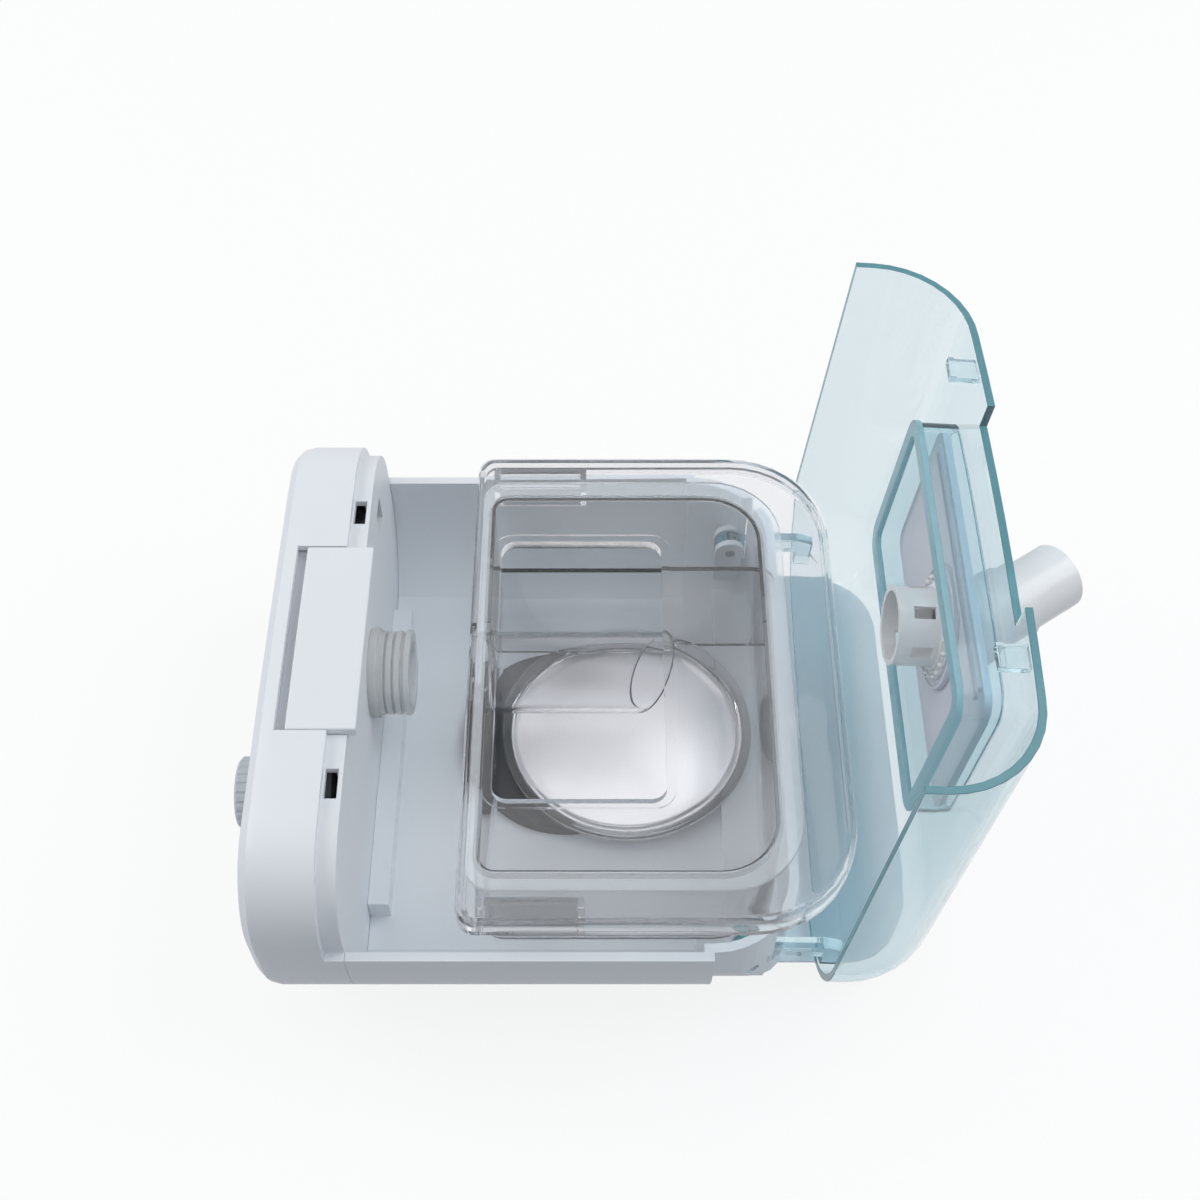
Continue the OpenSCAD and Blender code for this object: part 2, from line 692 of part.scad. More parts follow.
module port_seal() color("#E4E8EA") difference() {
    union() {
        rod_x(block_wall_x, block_wall_x + 3, port_y, port_z, port_r + 2.5);
        for (k = [0:2])
            rod_x(block_wall_x + 3 + k * 2.8, block_wall_x + 5 + k * 2.8, port_y, port_z,
                  port_r + 1.4);
        rod_x(block_wall_x + 3, port_face_x, port_y, port_z, port_r + 0.2);
        rod_x(port_face_x - 2, port_face_x, port_y, port_z, port_r + 1.6);
    }
    rod_x(block_wall_x - 1, block_wall_x + 1.55, port_y, port_z, port_r + 0.02);
    rod_x(block_wall_x, port_face_x + 1, port_y, port_z, port_bore_r);
}

module silencer_foam() color("#6B7076") difference() {
    block(blower_x0, inner_x1 - 0.3, duct_y1 + 0.3, foam_end_y, port_z - tube_r, blower_z + blower_r);
    rod_y(duct_y1 - 1, foam_end_y + 1, filter_x, port_z + 4, tube_r / 2);
}

module inlet_filter() color("#F4F5F6")
    block(filter_x - filter_w / 2 + 1.5, filter_x + filter_w / 2 - 1.5, body_half - 9.5,
          body_half - 5.2, filter_z - filter_h / 2 + 1.5, filter_z + filter_h / 2 - 1.5);

module filter_cover() color("#D7DBDF") difference() {
    union() {
        block(filter_x - filter_w / 2 + gap, filter_x + filter_w / 2 - gap, body_half - 2.6,
              body_half - 0.2, filter_z - filter_h / 2 + gap, filter_z + filter_h / 2 - gap);
        for (s = [-1, 1])
            block(filter_x + s * (filter_w / 2 - 0.85) - 0.5, filter_x + s * (filter_w / 2 - 0.85) + 0.5,
                  body_half - 8, body_half - 2.6, filter_z - 5, filter_z + 5);
    }
    for (k = [-3:3])
        block(filter_x - filter_w / 2 + 2.6, filter_x + filter_w / 2 - 2.6, body_half - 4, body_half + 2,
              filter_z + k * 2.6 - 0.7, filter_z + k * 2.6 + 0.7);
}

module power_socket() color("#2B2E33") {
    difference() {
        rod_y(socket_y - 3.5, socket_y + 8.3, filter_x, socket_z, socket_r - 0.1);
        rod_y(socket_y - 1, socket_y + 10, filter_x, socket_z, 3.1);
    }
    rod_y(socket_y - 2, socket_y + 6.5, filter_x, socket_z, 1.05);
}

module latch_plate() color("#EEF0F1") difference() {
    union() {
        intersection() {
            along_x(latch_x0, latch_x0 + latch_len) polygon(block_outline(0));
            block(latch_x0, latch_x0 + latch_len, -latch_w / 2, latch_w / 2,
                  latch_floor + 0.2, top_z + 5);
        }
        for (y = hook_ys)
            block(hook_x0, hook_x1, y - hook_half, y + hook_half, latch_floor - 5, latch_floor + 1);
    }
    for (k = [0:3])
        block(groove_x + k * groove_pitch, groove_x + k * groove_pitch + 0.8,
              -latch_w / 2 + 11, latch_w / 2 - 11, top_z + crown - 0.6, top_z + 5);
}

module latch_bar() color("#D2D7DA") {
    block(bar_x1 - bar_w, bar_x1, -slot_y - clip_w / 2, slot_y + clip_w / 2,
          latch_floor - 9, latch_floor - 5);
}

module latch_springs() color("#A7ADB3") for (y = [-12, 12])
    for (k = [1:spring_turns])
        translate([bar_x1 - bar_w - k * spring_pitch + 0.4, y, latch_floor - 7])
            rotate([0, 90, 0]) difference() {
            cylinder(h = 1, r = 2, $fn = 24);
            translate([0, 0, -1]) cylinder(h = 3, r = 1.4, $fn = 24);
        }

// ------------------------------------------------------------------ lid

module on_lid() {
    translate([hinge_x, 0, hinge_z]) rotate([0, lid_open, 0])
        translate([-hinge_x, 0, -hinge_z]) children();
}

// Solid form of the closed lid; a larger inset gives its inside
module lid_form(inset, z) {
    start = inset > 0 ? free_edge_x - 2 : free_edge_x;
    r = top_edge_r - inset;
    hull() {
        along_x(start, lid_front_x) polygon(arch_outline(inset, z));
        for (s = [-1, 1]) translate([corner_x, s * corner_y, 0])
            rotate_extrude($fn = 36)
                polygon(concat([[0, z], [r, z]], arc(0, side_z, r, 0, 90)));
    }
}

lid_arm_top = rim_z + 6.6;

module lid_arm() {
    tray_inner = corner_x + sqrt(pow(top_edge_r - tub_inset - tray_wall, 2)
                                 - pow(arm_y + arm_t / 2 - corner_y, 2));
    x1 = tray_inner - 0.6;
    skin_x = corner_x + sqrt(pow(top_edge_r - lid_wall, 2) - pow(arm_y - corner_y, 2)) + 0.6;
    difference() {
        along_y(arm_y - arm_t / 2, arm_y + arm_t / 2) union() {
            polygon([[hinge_x - 3.4, hinge_z], [x1 - 7, lid_arm_top - 5], [x1 - 5, lid_arm_top],
                     [skin_x, lid_arm_top], [skin_x, rim_z + 1], [x1, rim_z + 1], [x1, hinge_z + 8],
                     [hinge_x + 2, hinge_z]]);
            translate([hinge_x, hinge_z]) circle(r = hinge_eye_r - 0.6);
        }
        rod_y(0, body_half, hinge_x, hinge_z, hinge_pin_r + fit);
    }
}

// Height of the lid's roof: the crown runs out towards the rear
function roof_z(x, y) =
    top_z + crown * (1 - pow(y / corner_y, 2)) * (corner_x - x) / (corner_x - lid_front_x);

seal_x0 = free_edge_x + seal_box_inset;
seal_x1 = seal_x0 + seal_box_len;
outlet_x = (seal_x0 + seal_x1) / 2 - 1.5;
cover_z = rim_z + tank_rise;
seal_z = cover_z + 1.4;                        // underside of the lid's seal
seal_t = 2;
box_z = seal_z + seal_t;
neck_r = 12.6;

module lid_shell() color("#9FD0D8", 0.6) on_lid() difference() {
    union() {
        difference() {
            lid_form(0, rim_z + lid_gap);
            lid_form(lid_wall, rim_z - 2);
        }
        both_sides() lid_arm();
    }
    // room for the release plate in the free edge
    block(free_edge_x - 1, block_wall_x + latch_over + 0.6, -latch_w / 2 - 1.4, latch_w / 2 + 1.4,
          top_z - 12, top_z + 5);
    rod_z(top_z - 8, top_z + 6, outlet_x, outlet_y, neck_r + 0.2);
}

module lid_seal_box() color("#6FB4C2", 0.7) on_lid() intersection() {
    difference() {
        translate([0, 0, box_z]) linear_extrude(30) plan(seal_x0, seal_x1, seal_box_w / 2, 8, 8);
        translate([0, 0, box_z - 1]) linear_extrude(32)
            plan(seal_x0 + seal_box_wall, seal_x1 - seal_box_wall,
                 seal_box_w / 2 - seal_box_wall, 5, 5);
    }
    lid_form(lid_wall + 0.05, rim_z);
}

module lid_seal() color("#B9C2CA") on_lid() difference() {
    translate([0, 0, seal_z]) linear_extrude(seal_t - 0.02)
        plan(seal_x0 - 0.5, seal_x1 + 0.5, seal_box_w / 2 + 0.5, 8, 8);
    translate([0, 0, seal_z - 1]) linear_extrude(seal_t + 2)
        plan(seal_x0 + seal_box_wall + 1.5, seal_x1 - seal_box_wall - 1.5,
             seal_box_w / 2 - seal_box_wall - 1.5, 4, 4);
}

panel_low_z = top_z - lid_wall - 4.4;

module lid_panel() color("#B9C2CA") on_lid() difference() {
    union() {
        translate([0, 0, panel_low_z]) linear_extrude(2.4)
            plan(seal_x0 + seal_box_wall + 0.1, seal_x1 - seal_box_wall - 0.1,
                 seal_box_w / 2 - seal_box_wall - 0.1, 5, 5);
        // stiffening bands along the free side
        for (k = [0, 1])
            block(seal_x0 + 4.5 + k * 4, seal_x0 + 6.5 + k * 4, -seal_box_w / 2 + 10,
                  seal_box_w / 2 - 10, panel_low_z - 1.2, panel_low_z + 1);
    }
    rod_z(panel_low_z - 1, top_z, outlet_x, outlet_y, neck_r + 0.3);
}

module lid_clips() color("#8CC3CE", 0.7) on_lid() for (s = [-1, 1]) {
    clip_x = ledge_x + 1.4;
    intersection() {
        union() {
            block(clip_x, clip_x + 2.2, s * slot_y - clip_w / 2, s * slot_y + clip_w / 2,
                  top_z - 11, top_z);
            block(clip_x - 0.6, clip_x + 2.2, s * slot_y - clip_w / 2, s * slot_y + clip_w / 2,
                  top_z - 11, top_z - 9);
        }
        lid_form(lid_wall + 0.05, rim_z);
    }
}

cage_top = panel_low_z - 0.1;
cage_wall = 1.8;
cage_ring_r = 19.5;

module outlet_cage() color("#EEF1F2") on_lid() difference() {
    union() {
        rod_z(cage_top - cage_len, cage_top - 3, outlet_x, outlet_y, cage_r);
        rod_z(cage_top - 3, cage_top - 2, outlet_x, outlet_y, cage_r + 1);
        rod_z(cage_top - 2, cage_top, outlet_x, outlet_y, neck_r + 2);
    }
    rod_z(cage_top - cage_len - 1, cage_top + 1, outlet_x, outlet_y, cage_r - cage_wall);
    for (k = [0:5]) translate([outlet_x, outlet_y, 0]) rotate([0, 0, k * 60 + 15])
        block(cage_r - 4, cage_r + 3, -2, 2, cage_top - 11.5, cage_top - 4.5);
}

module cage_ring() color("#C4CBD0") on_lid() difference() {
    rod_z(panel_low_z - 2, panel_low_z - 0.05, outlet_x, outlet_y, cage_ring_r);
    rod_z(panel_low_z - 3, panel_low_z + 1, outlet_x, outlet_y, neck_r + 2.1);
    difference() {
        rod_z(panel_low_z - 3, panel_low_z - 1.2, outlet_x, outlet_y, cage_ring_r - 1);
        rod_z(panel_low_z - 4, panel_low_z, outlet_x, outlet_y, cage_ring_r - 3);
    }
}

outlet_base_z = roof_z(outlet_x, outlet_y) + 0.3;

module along_outlet() {
    translate([outlet_x, outlet_y, outlet_base_z + 1]) rotate([-outlet_tilt, 0, 0]) children();
}

module outlet_connector() color("#F0F1F1") on_lid() difference() {
    union() {
        rod_z(outlet_base_z, outlet_base_z + 2.4, outlet_x, outlet_y, 16);
        rod_z(outlet_base_z - 6, outlet_base_z + 1, outlet_x, outlet_y, neck_r);
        intersection() {
            along_outlet() union() {
                translate([0, 0, -12]) cylinder(h = outlet_len + 12, r = outlet_r);
                // shoulder that the hose cuff stops against
                translate([0, 0, -12]) cylinder(h = outlet_len - outlet_seat + 12, r = outlet_r + 1.2);
            }
            block(-far, far, -far, far, outlet_base_z, outlet_base_z + far);
        }
        intersection() {
            translate([outlet_x, outlet_y, outlet_base_z + 1]) sphere(r = 13.5);
            block(-far, far, -far, far, outlet_base_z + 1, outlet_base_z + far);
        }
    }
    along_outlet() translate([0, 0, 4]) cylinder(h = outlet_len, r = outlet_bore_r);
    along_outlet() sphere(r = outlet_bore_r);
    rod_z(outlet_base_z - 8, outlet_base_z + 1.5, outlet_x, outlet_y, outlet_bore_r + 1);
}

module outlet_retainer() color("#AEB4BA") on_lid() difference() {
    rod_z(outlet_base_z - 5.4, outlet_base_z - 3.6, outlet_x, outlet_y, 15.5);
    rod_z(outlet_base_z - 7, outlet_base_z - 2, outlet_x, outlet_y, neck_r + 0.02);
}

// ------------------------------------------------------------------ tank

tank_x1 = tank_x + tank_len;
body_x0 = tank_x + 4.7;                        // the body starts inside the cover's edge
body_x1 = body_x0 + tank_body_len;
tank_low = heater_top + 0.3;
body_top = cover_z - 4.6;
hot_x = (body_x0 + body_x1) / 2 - tank_travel + heater_x;
disc_x = hot_x + tank_travel;
disc_y = heater_y;
tank_floor_t = 2.2;
window_x0 = seal_x0 + tank_travel + 5;
window_x1 = seal_x1 + tank_travel - 5;
window_half = seal_box_w / 2 - 5;

body_edge_r = 9;                               // rounding under the body's long sides
body_left_r = 7;
body_right_r = 20;

// Hollow or solid of the body from height z up to top, its long low edges rounded
module body_solid(inset, z, top) {
    hull() for (t = [0:30:90]) {
        z_low = z + (body_edge_r - inset) * (1 - cos(t));
        translate([0, 0, z_low]) linear_extrude(top - z_low)
            plan(body_x0 + inset + 1 - sin(t), body_x1 - inset - 1 + sin(t),
                 tank_body_half - inset - body_edge_r * (1 - sin(t)),
                 body_left_r - inset, body_right_r - inset);
    }
}

module tank_body() color("#DDE6EA", 0.4) difference() {
    union() {
        body_solid(0, tank_low, body_top);
        // outward flange that carries the gasket
        translate([0, 0, body_top - 2.2]) linear_extrude(2.2)
            plan(tank_x + 3.2, tank_x1 - 3.2, tank_half - 3.2, 4, 30);
        // spigot of the air inlet
        rod_x(tank_x, body_x0 + 1, tube_y, port_z, port_r);
    }
    body_solid(tank_wall, tank_low + tank_floor_t, body_top + 5);
    rod_x(tank_x - 1, body_x0 + 6, tube_y, port_z, port_bore_r + 0.4);
    rod_z(tank_low - 1, tank_low + 8, disc_x, disc_y, disc_r + 0.1);
}

// The gasket lies midway on the flange between body and cover
gasket_half = (tank_body_half + tank_half) / 2 - 3;

module tank_gasket() color("#CBD2D6") difference() {
    translate([0, 0, body_top + 0.02]) linear_extrude(1.5)
        plan(body_x0 - 2, body_x1 + 6, gasket_half, 8, 24);
    translate([0, 0, body_top - 1]) linear_extrude(4)
        plan(body_x0 + 1, body_x1 - 1, tank_body_half - 1, 6, 19);
}

cover_edge_r = 4;
cover_left_r = 6;
cover_right_r = 34;
cover_wall = 2.4;

module tank_cover() color("#E2EAEE", 0.4) difference() {
    union() {
        // turned-down edge with a rounded top
        hull() for (t = [0:30:90]) {
            step = cover_edge_r * (1 - cos(t));
            translate([0, 0, cover_z - cover_skirt])
                linear_extrude(cover_skirt - cover_edge_r * (1 - sin(t)))
                    plan(tank_x + step / 2, tank_x1 - step, tank_half - step,
                         cover_left_r, cover_right_r - step);
        }
        // raised lip that the lid's seal lands on
        translate([0, 0, cover_z - 1]) linear_extrude(2)
            plan(window_x0 - 3, window_x1 + 3, window_half + 3, 7, 7);
    }
    translate([0, 0, cover_z - cover_skirt - 1]) linear_extrude(cover_skirt - 2)
        plan(tank_x + cover_wall, tank_x1 - cover_wall, tank_half - cover_wall,
             cover_left_r - 2, cover_right_r - cover_wall);
    translate([0, 0, cover_z - 6]) linear_extrude(12)
        plan(window_x0, window_x1, window_half, 5, 5);
    // the skirt leaves the air inlet free
    rod_x(tank_x - 1, tank_x + 4, tube_y, port_z, port_r + 2.5);
}

tube_wall = 1.6;

module tank_tube() color("#E8EEF1", 0.5) difference() {
    x0 = body_x0 + tank_wall + 0.05;
    rod_x(x0, x0 + tube_len, tube_y, port_z, tube_r);
    rod_x(x0 - 1, x0 + tube_len + 1, tube_y, port_z, tube_r - tube_wall);
    // oblique mouth
    translate([x0 + tube_len, 0, port_z + tube_r]) rotate([0, 28, 0])
        block(0, 60, -60, 60, -80, 10);
}

module tank_disc() color("#C9CDD1") translate([disc_x, disc_y, tank_low]) {
    rotate_extrude($fn = 96) polygon([[0, 0], [disc_r, 0], [disc_r, 1.5], [disc_r - 6, 1.5],
                                     [disc_r - 8, 2.3], [0, 2.3]]);
}

module disc_ring() color("#E6EBEE", 0.6) translate([disc_x, disc_y, tank_low]) intersection() {
    rotate_extrude($fn = 96) polygon([[disc_r - 2, 1.52], [disc_r - 0.1, 1.52],
                                     [disc_r - 0.1, tank_floor_t + 0.02],
                                     [disc_ring_r, tank_floor_t + 0.02], [disc_ring_r, 4.2],
                                     [disc_ring_r - 1, 5.2], [disc_r - 1, 5.2], [disc_r - 2, 4.2]]);
    // flat at the ends where the tank's walls come close
    translate([-disc_x, -disc_y, -tank_low])
        block(body_x0 + tank_wall + gap, body_x1 - tank_wall - gap, -tank_body_half, tank_body_half,
              tank_low, body_top);
}

grip_len = 33;
grip_z = cover_z - 17.05;

module tank_grips() color("#DCE4E8", 0.5) both_sides() {
    // a finger grip hangs under the flange, between the body and the cover's edge
    y0 = tank_body_half + (tank_half - tank_body_half) * 0.35;
    y1 = tank_half - cover_wall - 0.1;
    y_wall = (y1 - y0) * 0.18;
    x0 = tank_x + 6;
    difference() {
        block(x0, x0 + grip_len, y0, y1, grip_z, body_top - 2.25);
        block(x0 + 2, x0 + grip_len - 2, y0 + y_wall, y1 - y_wall, grip_z - 1, body_top - 4);
    }
}

// ------------------------------------------------------------------ assembly

base_tub();
base_plate();
feet();
base_screws();
hinge_pins();
heater_plate();
heater_element();
port_seal();
front_housing();
housing_screws();
front_panel();
display_window();
display_module();
control_board();
key_mat();
encoder();
blower_volute();
blower_cover();
blower_mounts();
blower_motor();
impeller();
air_duct();
silencer_foam();
inlet_filter();
filter_cover();
power_socket();
latch_plate();
latch_bar();
latch_springs();
power_key();
menu_key();
ramp_key();
control_knob();
lid_shell();
lid_seal_box();
lid_seal();
lid_panel();
lid_clips();
outlet_cage();
cage_ring();
outlet_connector();
outlet_retainer();
tank_body();
tank_cover();
tank_gasket();
tank_tube();
tank_disc();
disc_ring();
tank_grips();
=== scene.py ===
"""Looks of a bedside breathing machine with a drawer-type water tank and a see-through lid.

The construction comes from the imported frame. This script gives every piece its finish, rounds
the moulded edges, and sets a plain white stage with soft light and the photograph's view.
"""
import json
import math

import bmesh
import bpy
from mathutils import Matrix, Vector


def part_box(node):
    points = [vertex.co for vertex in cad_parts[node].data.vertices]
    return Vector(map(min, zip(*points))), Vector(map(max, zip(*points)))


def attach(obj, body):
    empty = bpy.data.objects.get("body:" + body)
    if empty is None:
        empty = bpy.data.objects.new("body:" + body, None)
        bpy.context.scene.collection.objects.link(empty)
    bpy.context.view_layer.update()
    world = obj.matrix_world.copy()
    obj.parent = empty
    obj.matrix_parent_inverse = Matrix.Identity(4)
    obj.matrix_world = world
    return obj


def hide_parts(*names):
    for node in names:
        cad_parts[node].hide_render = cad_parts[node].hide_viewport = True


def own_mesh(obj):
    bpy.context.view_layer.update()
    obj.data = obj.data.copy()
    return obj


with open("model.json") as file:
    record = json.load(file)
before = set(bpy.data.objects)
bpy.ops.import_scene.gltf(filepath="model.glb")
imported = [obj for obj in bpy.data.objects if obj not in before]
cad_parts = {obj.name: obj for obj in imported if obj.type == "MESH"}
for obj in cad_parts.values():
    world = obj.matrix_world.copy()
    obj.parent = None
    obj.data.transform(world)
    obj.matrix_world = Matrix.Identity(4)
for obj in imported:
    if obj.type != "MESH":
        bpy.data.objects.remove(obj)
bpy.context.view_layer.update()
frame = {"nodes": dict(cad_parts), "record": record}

MM = 0.001

# Fine moulded edges are rounded by these widths.
EDGE_SHELL = 0.6 * MM
EDGE_CLEAR = 0.5 * MM
EDGE_SMALL = 0.25 * MM
SMOOTH_BELOW = 28.0          # degrees: facets that meet flatter than this read as one curve

WAVE_REPEAT = 0.314          # metres between the rings of a wave texture whose scale is 1
FLOOR_SIDE = 6.0
FLOOR_GLOW = 0.85            # the floor's own white to the eye; the rest keeps the soft shadow


# ---------------------------------------------------------------- colours and nodes

def linear(code, alpha=1.0):
    """Turns an sRGB hex colour such as "#E8EBED" into linear values."""
    parts = [int(code[i:i + 2], 16) / 255 for i in (1, 3, 5)]
    return [p / 12.92 if p <= 0.04045 else ((p + 0.055) / 1.055) ** 2.4 for p in parts] + [alpha]


def add(tree, kind, values=None, links=None, **settings):
    """Adds one shader node with its settings, socket values and incoming links."""
    made = tree.nodes.new("ShaderNode" + kind)
    for name, value in settings.items():
        setattr(made, name, value)
    for name, value in (values or {}).items():
        made.inputs[name].default_value = value
    for name, socket in (links or {}).items():
        tree.links.new(socket, made.inputs[name])
    return made


def blank(name):
    """A new material with only its output node."""
    material = bpy.data.materials.new(name)
    material.use_nodes = True
    material.node_tree.nodes.clear()
    return material, material.node_tree, add(material.node_tree, "OutputMaterial")


def surface_noise(tree, size, detail=3.0):
    """Noise whose grain has the given size in metres, in the piece's own place."""
    place = add(tree, "TexCoord")
    return add(tree, "TexNoise", {"Scale": 1 / size, "Detail": detail},
               {"Vector": place.outputs["Object"]}).outputs["Fac"]


def between(tree, factor, low, high):
    """Maps a noise value to a range of numbers."""
    return add(tree, "MapRange", {"To Min": low, "To Max": high},
               {"Value": factor}).outputs["Result"]


def blended(tree, factor, first, second):
    """Blends two hex colours by a factor."""
    mix = add(tree, "Mix", data_type="RGBA")
    mix.inputs[6].default_value = linear(first)
    mix.inputs[7].default_value = linear(second)
    tree.links.new(factor, mix.inputs[0])
    return mix.outputs[2]


def relief(tree, height, depth, strength=1.0):
    """A bump whose height is in metres."""
    return add(tree, "Bump", {"Strength": strength, "Distance": depth},
               {"Height": height}).outputs["Normal"]


# ---------------------------------------------------------------- materials

def spark_eroded_abs(name, colour, shade, rough=0.42):
    """White ABS from a spark-eroded mould: satin, with a fine even grain and soft highlights."""
    material, tree, out = blank(name)
    cloud = surface_noise(tree, 40 * MM)
    grain = surface_noise(tree, 0.6 * MM, detail=2)    # the real 0.2 mm grain is too fine to show
    body = add(tree, "BsdfPrincipled", {"IOR": 1.54, "Specular IOR Level": 0.5}, {
        "Base Color": blended(tree, cloud, colour, shade),
        "Roughness": between(tree, grain, rough - 0.05, rough + 0.07),
        "Normal": relief(tree, grain, 0.02 * MM, 0.5)})
    tree.links.new(body.outputs[0], out.inputs["Surface"])
    return material


def polished_mould(name, colour, shade, rough=0.2):
    """Plastic from a polished mould: smooth and glossy, with a faint flow waviness."""
    material, tree, out = blank(name)
    flow = surface_noise(tree, 9 * MM, detail=2)
    body = add(tree, "BsdfPrincipled", {"IOR": 1.5}, {
        "Base Color": blended(tree, surface_noise(tree, 25 * MM), colour, shade),
        "Roughness": between(tree, flow, rough - 0.04, rough + 0.06),
        "Normal": relief(tree, flow, 0.04 * MM, 0.3)})
    tree.links.new(body.outputs[0], out.inputs["Surface"])
    return material


def clear_moulding(name, tint, absorb, density, haze, rough=0.03, passed="#F2F5F6"):
    """Clear polycarbonate or silicone from a polished mould: see-through with bright rims, and
    deeper in colour where sight runs along a wall.

    absorb and density set how a wall's thickness takes up light, and haze is the share that the
    worn surface scatters. Light from the lamps passes, in the colour passed, so that what stands
    behind stays lit."""
    material, tree, out = blank(name)
    flow = surface_noise(tree, 14 * MM, detail=1)
    body = add(tree, "BsdfPrincipled",
               {"IOR": 1.3, "Transmission Weight": 1 - haze, "Base Color": linear(tint)},
               {"Roughness": between(tree, flow, rough * 0.5, rough * 1.5),
                "Normal": relief(tree, flow, 0.05 * MM, 0.12)})
    passing = add(tree, "BsdfTransparent", {"Color": linear(passed)})
    path = add(tree, "LightPath")
    mix = add(tree, "MixShader", links={"Fac": path.outputs["Is Shadow Ray"]})
    tree.links.new(body.outputs[0], mix.inputs[1])
    tree.links.new(passing.outputs[0], mix.inputs[2])
    tree.links.new(mix.outputs[0], out.inputs["Surface"])
    depth = add(tree, "VolumeAbsorption", {"Color": linear(absorb), "Density": density})
    tree.links.new(depth.outputs[0], out.inputs["Volume"])
    return material


def moulded_silicone(name, colour, shade, through=0.0, rough=0.45):
    """Moulded silicone: soft sheen, no hard highlight, a little light passing through."""
    material, tree, out = blank(name)
    grain = surface_noise(tree, 1.2 * MM, detail=2)
    body = add(tree, "BsdfPrincipled",
               {"IOR": 1.41, "Transmission Weight": through, "Sheen Weight": 0.15}, {
                   "Base Color": blended(tree, surface_noise(tree, 8 * MM), colour, shade),
                   "Roughness": between(tree, grain, rough - 0.06, rough + 0.08),
                   "Normal": relief(tree, grain, 0.02 * MM, 0.4)})
    tree.links.new(body.outputs[0], out.inputs["Surface"])
    return material


def pressed_stainless(name, centre, pitch):
    """Pressed stainless sheet, finished with a turning pad: bright, with faint rings."""
    material, tree, out = blank(name)
    place = add(tree, "TexCoord")
    mapped = add(tree, "Mapping", {"Location": [-c for c in centre]},
                 {"Vector": place.outputs["Object"]})
    # the real marks are finer than the pitch that can show here
    rings = add(tree, "TexWave", {"Scale": WAVE_REPEAT / pitch, "Distortion": 0.6, "Detail": 2.0},
                {"Vector": mapped.outputs["Vector"]}, wave_type="RINGS", rings_direction="Z")
    body = add(tree, "BsdfPrincipled", {"Metallic": 1.0}, {
        "Base Color": blended(tree, rings.outputs["Fac"], "#EFEFF2", "#E8E8EC"),
        "Roughness": between(tree, rings.outputs["Fac"], 0.3, 0.36),
        "Normal": relief(tree, rings.outputs["Fac"], 0.001 * MM, 0.15)})
    tree.links.new(body.outputs[0], out.inputs["Surface"])
    return material


def metal(name, colour, shade, rough, grain_size):
    """Plain machined or blasted metal with an even grain."""
    material, tree, out = blank(name)
    grain = surface_noise(tree, grain_size, detail=3)
    body = add(tree, "BsdfPrincipled", {"Metallic": 1.0}, {
        "Base Color": blended(tree, grain, colour, shade),
        "Roughness": between(tree, grain, rough - 0.06, rough + 0.08),
        "Normal": relief(tree, grain, 0.01 * MM, 0.4)})
    tree.links.new(body.outputs[0], out.inputs["Surface"])
    return material


def dyed_oxide(name, colour, shade):
    """Anodised aluminium dyed black: the oxide layer hides the metal and reads as dark satin."""
    material, tree, out = blank(name)
    grain = surface_noise(tree, 4 * MM, detail=2)
    body = add(tree, "BsdfPrincipled", {"IOR": 1.6, "Specular IOR Level": 0.15}, {
        "Base Color": blended(tree, grain, colour, shade),
        "Roughness": between(tree, grain, 0.42, 0.5)})
    tree.links.new(body.outputs[0], out.inputs["Surface"])
    return material


def open_foam(name, colour, shade, pore):
    """Open foam or needled fleece: matt, with painted shade in the pores that swallow light."""
    material, tree, out = blank(name)
    place = add(tree, "TexCoord")
    cells = add(tree, "TexVoronoi", {"Scale": 1 / pore}, {"Vector": place.outputs["Object"]})
    body = add(tree, "BsdfPrincipled", {"Roughness": 0.95, "Sheen Weight": 0.3}, {
        # each pore's centre is painted in the darker colour: painted shade
        "Base Color": blended(tree, cells.outputs["Distance"], shade, colour),
        "Normal": relief(tree, cells.outputs["Distance"], 0.4 * MM, 0.8)})
    tree.links.new(body.outputs[0], out.inputs["Surface"])
    return material


def circuit_board(name):
    """Green solder mask over copper tracks on glass fibre: glossy, with a grid of faint tracks."""
    material, tree, out = blank(name)
    place = add(tree, "TexCoord")
    tracks = add(tree, "TexBrick", {"Scale": 1 / (6 * MM), "Mortar Size": 0.03,
                                    "Color1": linear("#2A6046"), "Color2": linear("#2F6B4E"),
                                    "Mortar": linear("#5C8A5A")},
                 {"Vector": place.outputs["Object"]})
    body = add(tree, "BsdfPrincipled", {"Roughness": 0.3},
               {"Base Color": tracks.outputs["Color"]})
    tree.links.new(body.outputs[0], out.inputs["Surface"])
    return material


disc_low, disc_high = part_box("tank_disc")
disc_centre = (disc_low + disc_high) / 2

